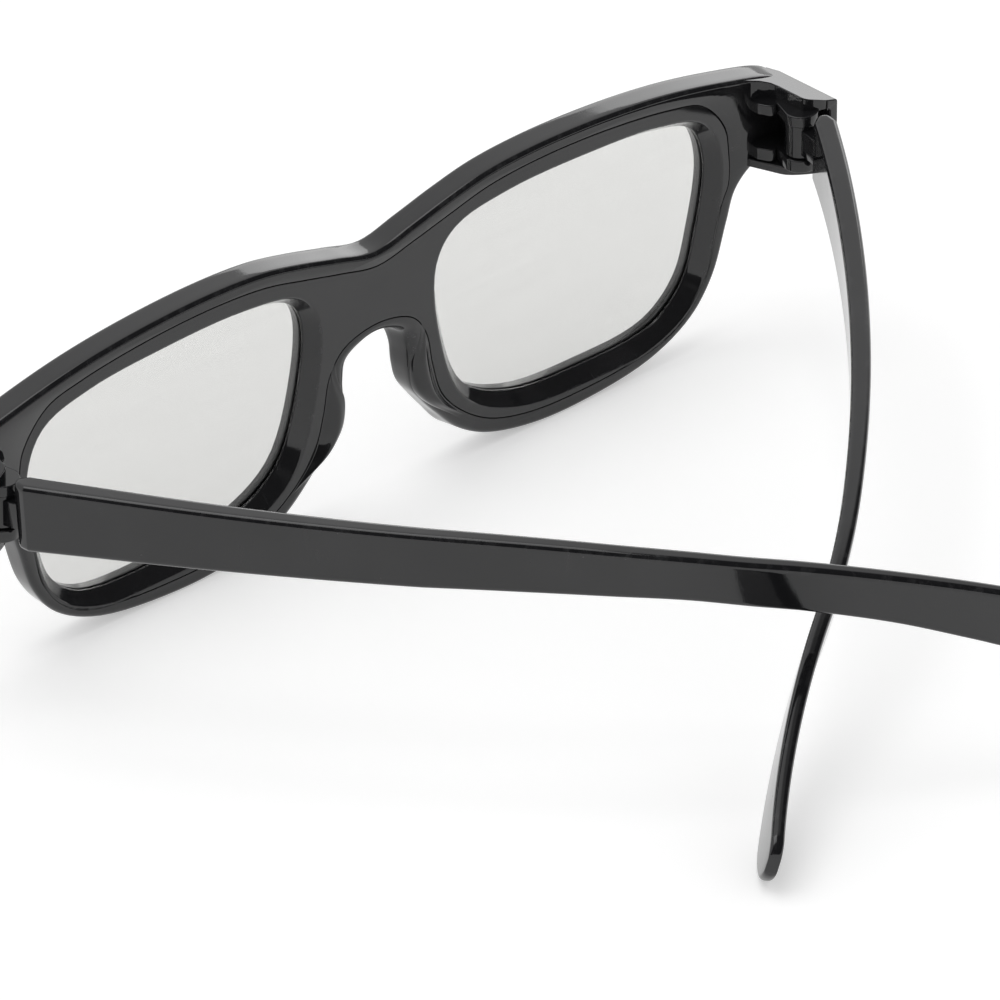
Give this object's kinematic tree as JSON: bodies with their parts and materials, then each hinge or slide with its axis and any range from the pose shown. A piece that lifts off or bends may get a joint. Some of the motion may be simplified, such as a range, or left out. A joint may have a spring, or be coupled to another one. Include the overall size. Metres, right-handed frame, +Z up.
{
  "type": "passive stereoscopic spectacles",
  "caption": "Plastic spectacles with polarising film lenses laminated between a moulded front shell and an inset rear plate, with folding temples on snap-peg hinges.",
  "frame": {"origin": "centre of the bounding box's footprint, on the table that the spectacles stand on", "axes": "+X towards the wearer's right, +Y forwards out of the lenses, +Z up; the front leans back a little because the part stands on both rims and on the right temple's tip"},
  "size_m": [0.1536, 0.1233, 0.0469],
  "materials": {
    "shell_plastic": "moulded high gloss black",
    "plate_plastic": "moulded gloss black",
    "temple_plastic": "moulded gloss black",
    "retarder_film": "clear quarter-wave film",
    "polarising_film": "neutral grey polarising film",
    "carrier_film": "clear carrier film"
  },
  "bodies": {
    "front": {"front_shell": "shell_plastic", "rear_plate": "plate_plastic", "left_retarder_film": "retarder_film", "right_retarder_film": "retarder_film", "left_polarising_film": "polarising_film", "right_polarising_film": "polarising_film", "left_carrier_film": "carrier_film", "right_carrier_film": "carrier_film"},
    "left_temple": {"left_temple": "temple_plastic"},
    "right_temple": {"right_temple": "temple_plastic"}
  },
  "joints": [
    {"name": "left_temple_fold", "type": "hinge", "parent": "front", "child": "left_temple", "pos_m": [-0.0718, 0.04922, 0.03247], "axis": [0, -0.0549, 0.9985], "range_deg": [-40.9, 8]},
    {"name": "right_temple_fold", "type": "hinge", "parent": "front", "child": "right_temple", "pos_m": [0.0718, 0.04922, 0.03247], "axis": [0, 0.0549, -0.9985], "range_deg": [-40.9, 46]}
  ]
}
